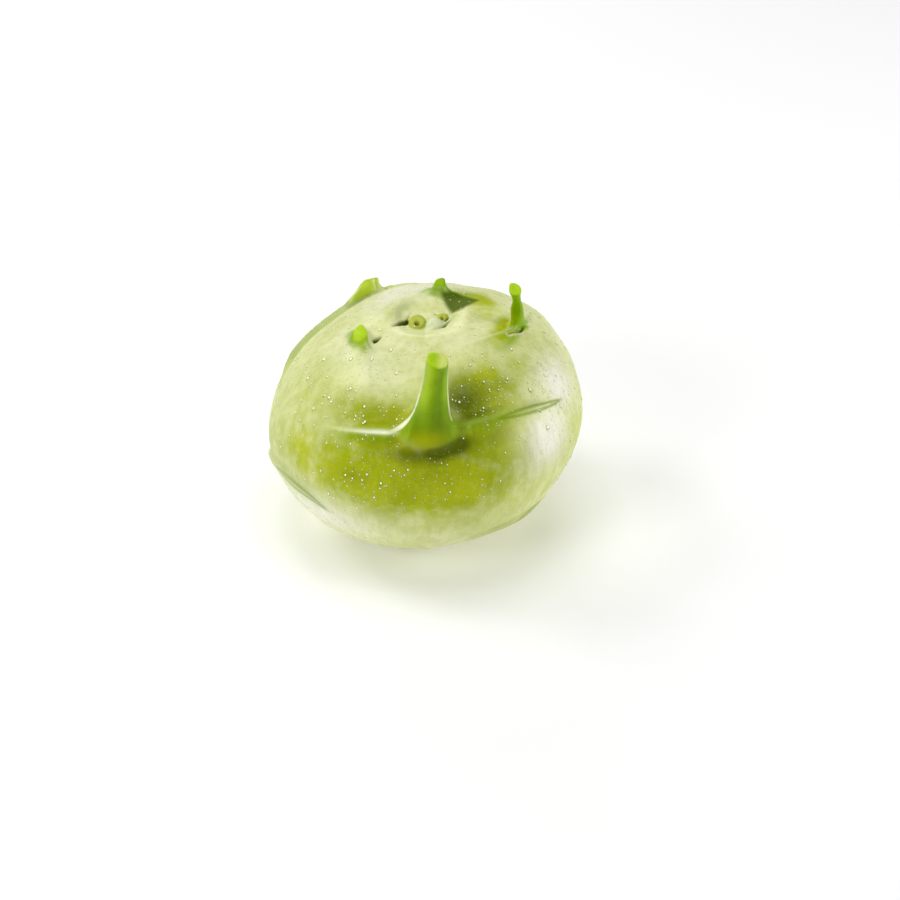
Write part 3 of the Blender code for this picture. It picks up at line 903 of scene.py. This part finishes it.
class Graph:
    """A short way to write a material's nodes."""

    def __init__(self, name):
        self.material = bpy.data.materials.new(name)
        self.material.use_nodes = True
        self.tree = self.material.node_tree
        self.shader = self.tree.nodes["Principled BSDF"]

    def node(self, kind, **inputs):
        made = self.tree.nodes.new(kind)
        for name, value in inputs.items():
            self.put(made.inputs[name.replace("_", " ")], value)
        return made

    def put(self, socket, value):
        if isinstance(value, bpy.types.NodeSocket):
            self.tree.links.new(value, socket)
        else:
            socket.default_value = value

    def surface(self, **inputs):
        """Sets the shader's own inputs, named with _ for a space."""
        for name, value in inputs.items():
            self.put(self.shader.inputs[name.replace("_", " ")], value)

    def mark(self, name):
        made = self.tree.nodes.new("ShaderNodeAttribute")
        made.attribute_name = name
        return made.outputs["Fac"]

    def mix(self, share, first, second):
        made = self.tree.nodes.new("ShaderNodeMix")
        made.data_type = "RGBA"
        self.put(made.inputs["Factor"], share)
        self.put(made.inputs["A"], first)
        self.put(made.inputs["B"], second)
        return made.outputs["Result"]

    def maths(self, operation, first, second=0.0, third=0.0):
        made = self.tree.nodes.new("ShaderNodeMath")
        made.operation = operation
        for place, value in enumerate((first, second, third)):
            self.put(made.inputs[place], value)
        return made.outputs[0]

    def span(self, value, low, high, to_low=0.0, to_high=1.0):
        """The value's place between low and high, smooth at both, as a number from to_low to to_high."""
        made = self.node("ShaderNodeMapRange", Value=value, From_Min=low, From_Max=high)
        made.interpolation_type = "SMOOTHSTEP"
        self.put(made.inputs["To Min"], to_low)
        self.put(made.inputs["To Max"], to_high)
        return made.outputs["Result"]

    def noise(self, place, size, detail=3.0):
        """Soft noise about 0.5, with features of about this size."""
        made = self.node("ShaderNodeTexNoise", Vector=place, Scale=1 / size, Detail=detail, Roughness=0.55)
        return made.outputs["Fac"]

    def bump(self, height, distance, strength):
        made = self.node("ShaderNodeBump", Height=height, Distance=distance, Strength=strength)
        return made.outputs["Normal"]


def colour(red, green, blue):
    """A colour given as on a screen, from 0 to 255."""
    parts = [c / 255 for c in (red, green, blue)]
    parts = [c / 12.92 if c <= 0.04045 else ((c + 0.055) / 1.055) ** 2.4 for c in parts]
    return (*parts, 1.0)


def skin_material():
    g = Graph("kohlrabi_skin")
    place = g.tree.nodes.new("ShaderNodeTexCoord").outputs["Object"]
    split = g.node("ShaderNodeSeparateXYZ", Vector=place)

    # Fine streaks that run from the crown down to the root
    streaks = g.node("ShaderNodeCombineXYZ", X=split.outputs["X"], Y=split.outputs["Y"])
    streaks = g.noise(streaks.outputs["Vector"], 2.2 * MM, 2.0)
    clouds = g.noise(place, 12 * MM, 4.0)

    specks = g.noise(place, 1.6 * MM, 3.0)
    spots = g.noise(place, 4.5 * MM, 3.0)

    pale = g.mix(g.span(clouds, 0.35, 0.65), colour(216, 222, 150), colour(234, 236, 182))
    olive = g.mix(g.span(clouds, 0.35, 0.65), colour(160, 176, 6), colour(186, 197, 26))
    olive = g.mix(g.span(specks, 0.5, 0.72, 0.0, 0.35), olive, colour(208, 214, 70))
    uneven = g.maths("MULTIPLY", g.mark("olive"), g.span(spots, 0.3, 0.65, 0.72, 1.25))
    uneven = g.maths("MULTIPLY", uneven, g.span(clouds, 0.25, 0.7, 0.85, 1.15))
    skin = g.mix(g.span(uneven, 0.0, 0.82), pale, olive)
    # Waxy bloom and painted highlights
    skin = g.mix(g.mark("bloom_and_highlight"), skin, colour(250, 249, 236))
    skin = g.mix(g.span(streaks, 0.35, 0.75, 0.0, 0.22), skin, colour(154, 170, 30))
    stalk = g.mix(g.span(g.noise(place, 5.0 * MM), 0.3, 0.7), colour(122, 164, 0), colour(142, 184, 0))
    cut = g.mix(g.mark("pith"), colour(176, 212, 36), colour(210, 222, 116))
    dry = g.mix(g.noise(place, 0.8 * MM), colour(104, 66, 20), colour(180, 160, 70))
    layers = (  # mark, strength and colour, from the lowest up
        # deep: darker green, and painted shadow and shade
        ("deep", 0.9, colour(66, 82, 0)),
        ("green", 1.0, colour(134, 164, 0)),
        ("stalk", 1.0, stalk),
        # furrow: painted shade along the groove
        ("furrow_shade", 0.5, colour(86, 124, 0)),
        # fresh: bright yellow green, partly painted light
        ("fresh_and_lit", 1.0, colour(196, 222, 50)),
        # shade: painted shadow and shade, over darker green
        ("shade", 0.95, colour(72, 96, 0)),
        ("yellow", 0.8, colour(186, 184, 0)),
        ("line", 0.9, colour(120, 150, 4)),
        ("bud", 0.8, colour(222, 230, 190)),
        ("ring", 0.85, colour(176, 186, 44)),
        # rim: painted highlights on rims and lips
        ("rim_highlight", 1.0, colour(248, 250, 218)),
        ("cut", 1.0, cut),
        # gap: painted shade down in slits and pipes
        ("gap", 1.0, colour(82, 102, 6)),
        ("dry", 1.0, dry),
        ("root", 1.0, colour(205, 196, 140)),
    )
    for name, strength, tint in layers:
        skin = g.mix(g.maths("MULTIPLY", g.mark(name), strength), skin, tint)

    # Rougher where the dark green and the painted shade lie
    dull = g.maths("MAXIMUM", g.mark("deep"), g.mark("shade"))
    g.surface(
        Base_Color=skin,
        Normal=g.bump(specks, 0.3 * MM, 0.35),
        Roughness=g.span(dull, 0.0, 1.0, 0.34, 0.8),
        Specular_IOR_Level=0.3,
        Specular_Tint=(1, 1, 0.1, 1),
        Subsurface_Weight=0.12,
        Subsurface_Radius=(1.0, 1.0, 0.35),
        Subsurface_Scale=2.0 * MM,
    )
    return g.material


def make_skin():
    skin = kohlrabi_mesh()
    points = settled(mesh_points(skin.data).copy(), 2)
    skin.data.vertices.foreach_set("co", points.T.ravel())
    skin.data.update()
    skin.data.shade_smooth()
    mark_skin(skin.data)
    skin.data.materials.append(skin_material())
    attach(skin, "root")
    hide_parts("kohlrabi")


@dataclass
class DropSize:
    """A set of water drops, placed at random."""

    count: int
    radii: tuple  # the smallest and the largest
    sides: int  # of a drop's mesh
    rings: int
    stretch: float  # the most a drop is drawn out down the slope
    patches: tuple  # where they lie close together


GLINT_PLACE = (-0.15, -0.2)  # of the painted glint on a drop, a bright spot standing for the lamp's reflection, across and down its slope, in radii
GLINT_WIDTH = 0.6
DROP_FLATNESS = 0.5  # a drop's height as a share of its radius
DROP_SINK = 0.12  # how far it reaches into the skin, as a share of its radius
DROP_SEED = 11
DROP_MISS = 0.02 * MM  # how far off the skin a place may be
DRY_BELOW = -0.45  # the height, over the distance from the bulb's middle, below which no drop lies
WET_PATCHES = (
    Patch(228, 38, 24, 18),
    Patch(250, 0, 34, 18, 0.9),
    Patch(303, 42, 18, 14),
    Patch(330, 32, 18, 16, 0.9),
    Patch(90, 30, 30, 20, 0.6),
    Patch(150, 5, 24, 24, 0.6),
    Patch(20, 20, 24, 24, 0.6),
)
WET_LEAST = 0.12  # how wet the skin is away from the patches
MIST_PATCHES = (
    Patch(300, 41, 9, 9),
    Patch(290, 42, 6, 9),
    Patch(262, 38, 10, 5, 0.7),
    Patch(268, 14, 24, 9, 0.5),
)
DROP_SIZES = (
    DropSize(220, (0.36 * MM, 0.62 * MM), 14, 4, 1.6, WET_PATCHES),
    DropSize(950, (0.22 * MM, 0.38 * MM), 10, 3, 1.3, WET_PATCHES),
    DropSize(3000, (0.10 * MM, 0.20 * MM), 5, 2, 1.2, WET_PATCHES),
    DropSize(2600, (0.09 * MM, 0.17 * MM), 5, 2, 1.2, MIST_PATCHES),
)


def drop_places(draw, count, places):
    """Random places on the skin, more of them where it is wet, with the field's slope there."""
    found = np.zeros((3, 0))
    while found.shape[1] < count:
        directions = draw.normal(size=(3, 4 * count))
        directions /= np.linalg.norm(directions, axis=0)
        azimuth, latitude = angles(*directions)
        wet = np.maximum(WET_LEAST, patches(places, azimuth, latitude)) * (directions[2] > DRY_BELOW)
        keep = draw.uniform(size=4 * count) < wet
        directions = directions[:, keep]
        points = directions * bulb_radius(directions)
        points[2] += CENTRE_HEIGHT
        points = settled(settled(points, 2), 2)
        off = np.abs(kohlrabi_field(points)) > DROP_MISS
        found = np.concatenate([found, points[:, ~off]], axis=1)
    found = found[:, :count]
    slope = slope_at(found)
    return found, slope / np.linalg.norm(slope, axis=0)


def drop_shape(sides, rings):
    """Points and faces of a round drop of radius 1, flat below and centred on the skin."""
    points = [(0, 0, DROP_FLATNESS)]
    for ring in range(1, rings + 1):
        out = math.sin(math.pi / 2 * ring / rings)
        up = DROP_FLATNESS * math.cos(math.pi / 2 * ring / rings)
        for side in range(sides):
            turn = 2 * math.pi * side / sides
            points.append((out * math.cos(turn), out * math.sin(turn), up))
    points.append((0, 0, -DROP_SINK))
    faces = []
    for side in range(sides):
        after = (side + 1) % sides
        faces.append((0, 1 + side, 1 + after))
        for ring in range(rings - 1):
            first = 1 + ring * sides
            faces.append((first + side, first + sides + side, first + sides + after))
            faces.append((first + side, first + sides + after, first + after))
        last = 1 + (rings - 1) * sides
        faces.append((last + after, last + side, len(points) - 1))
    return np.array(points), np.array(faces)


def drop_mesh():
    """All the drops as one mesh of many closed domes."""
    draw = np.random.default_rng(DROP_SEED)
    all_points = []
    all_faces = []
    glints = []
    used = 0
    for size in DROP_SIZES:
        shape, faces = drop_shape(size.sides, size.rings)
        places, slopes = drop_places(draw, size.count, size.patches)
        across = np.cross(slopes.T, (0, 0, 1))
        across /= np.linalg.norm(across, axis=1)[:, None]
        down = np.cross(slopes.T, across)
        radii = size.radii[0] + (size.radii[1] - size.radii[0]) * draw.uniform(size=size.count) ** 2
        stretch = draw.uniform(1, size.stretch, size.count)
        painted_glint = bell(np.linalg.norm(shape[:, :2] - GLINT_PLACE, axis=1), GLINT_WIDTH)
        glints.append(np.tile(painted_glint, size.count))
        for k in range(size.count):
            sides = np.stack([across[k], stretch[k] * down[k], slopes[:, k]])
            place = places[:, k] - DROP_SINK * radii[k] * slopes[:, k]
            all_points.append(place + radii[k] * shape @ sides)
            all_faces.append(faces + used)
            used += len(shape)
    mesh = bpy.data.meshes.new("water_drops")
    points = np.concatenate(all_points)
    mesh.from_pydata(points.tolist(), [], np.concatenate(all_faces).tolist())
    azimuth, latitude = angles(points[:, 0], points[:, 1], points[:, 2] - CENTRE_HEIGHT)
    set_mark(mesh, "olive", patches(OLIVE_PATCHES, azimuth, latitude))
    set_mark(mesh, "painted_glint", np.concatenate(glints))
    return mesh


def make_drops():
    mesh = drop_mesh()
    mesh.shade_smooth()
    drops = add_object("water_drops", mesh)
    g = Graph("water")
    tint = g.mix(g.mark("olive"), colour(172, 184, 96), colour(96, 112, 8))
    # Painted glint: white and glowing a little, standing for the lamp's reflection
    bright = g.span(g.mark("painted_glint"), 0.25, 0.8)
    tint = g.mix(bright, tint, colour(255, 255, 218))
    g.surface(
        Base_Color=tint,
        Emission_Color=g.mix(bright, (0, 0, 0, 1), (1, 1, 0.72, 1)),
        Emission_Strength=0.3,
        Alpha=g.span(g.mark("painted_glint"), 0.2, 0.9, 0.28, 0.95),
        Roughness=0.06,
        Specular_IOR_Level=1.0,
    )
    mesh.materials.append(g.material)
    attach(drops, "root")


# Where the camera stands and how it is aimed: to the right of the bulb's middle, and below it
CAMERA_ELEVATION = 33
CAMERA_DISTANCE = 800 * MM
SENSOR = 36
PICTURE_WIDTH = 253.8 * MM  # that the picture takes in at the bulb's middle
AIM_RIGHT = 6.9 * MM
AIM_DOWN = 10.0 * MM


def make_camera():
    camera = add_object("camera", bpy.data.cameras.new("camera"))
    bpy.context.scene.camera = camera
    camera.data.sensor_width = SENSOR
    camera.data.lens = SENSOR * CAMERA_DISTANCE / PICTURE_WIDTH
    elevation = math.radians(CAMERA_ELEVATION)
    back = Vector((0, -math.cos(elevation), math.sin(elevation)))
    right = Vector((1, 0, 0))
    up = back.cross(right)
    aim = Vector((0, 0, CENTRE_HEIGHT)) + AIM_RIGHT * right - AIM_DOWN * up
    face(camera, aim + CAMERA_DISTANCE * back, back)
    camera.data.clip_start = 10 * MM
    camera.data.clip_end = 20_000 * MM


FLOOR_SIDE = 12_000 * MM
FLOOR_GAP = 0.02 * MM  # under the root cut, so that the two faces do not meet


def make_floor():
    mesh = bpy.data.meshes.new("floor")
    half = FLOOR_SIDE / 2
    corners = [(-half, -half, 0), (half, -half, 0), (half, half, 0), (-half, half, 0)]
    mesh.from_pydata(corners, [], [(0, 1, 2, 3)])
    floor = add_object("floor", mesh)
    floor.location.z = SOLID_LOW.z - FLOOR_GAP
    g = Graph("floor")
    g.surface(Base_Color=(0.9, 0.9, 0.9, 1), Roughness=0.8)
    g.surface(Emission_Color=(1, 1, 1, 1), Emission_Strength=0.18)
    mesh.materials.append(g.material)


def make_lamp(name, direction, distance, side, strength, tint=(1, 1, 1)):
    """A square soft box that lights the bulb from this direction."""
    light = bpy.data.lights.new(name, "AREA")
    light.size = side
    light.energy = strength
    light.color = tint
    lamp = add_object(name, light)
    away = Vector(direction).normalized()
    face(lamp, Vector((0, 0, CENTRE_HEIGHT)) + away * distance, away)


def make_world():
    world = bpy.data.worlds.new("world")
    world.use_nodes = True
    background = world.node_tree.nodes["Background"].inputs
    background["Color"].default_value = (1, 1, 1, 1)
    background["Strength"].default_value = 0.1
    bpy.context.scene.world = world


def make_light():
    make_lamp("key", (-0.72, 0.22, 0.70), 900 * MM, 320 * MM, 2.2)
    make_lamp("front_left", (-0.62, -0.66, 0.50), 900 * MM, 320 * MM, 2.4)
    make_lamp("top", (0, 0, 1), 900 * MM, 600 * MM, 3.6)
    make_lamp("back", (-0.2, 0.85, 0.45), 900 * MM, 400 * MM, 1.5)
    make_lamp("side", (0.94, 0.05, 0.2), 700 * MM, 280 * MM, 2.3)
    make_world()
    bpy.context.scene.view_settings.view_transform = "Standard"


make_camera()
make_skin()
make_drops()
make_floor()
make_light()
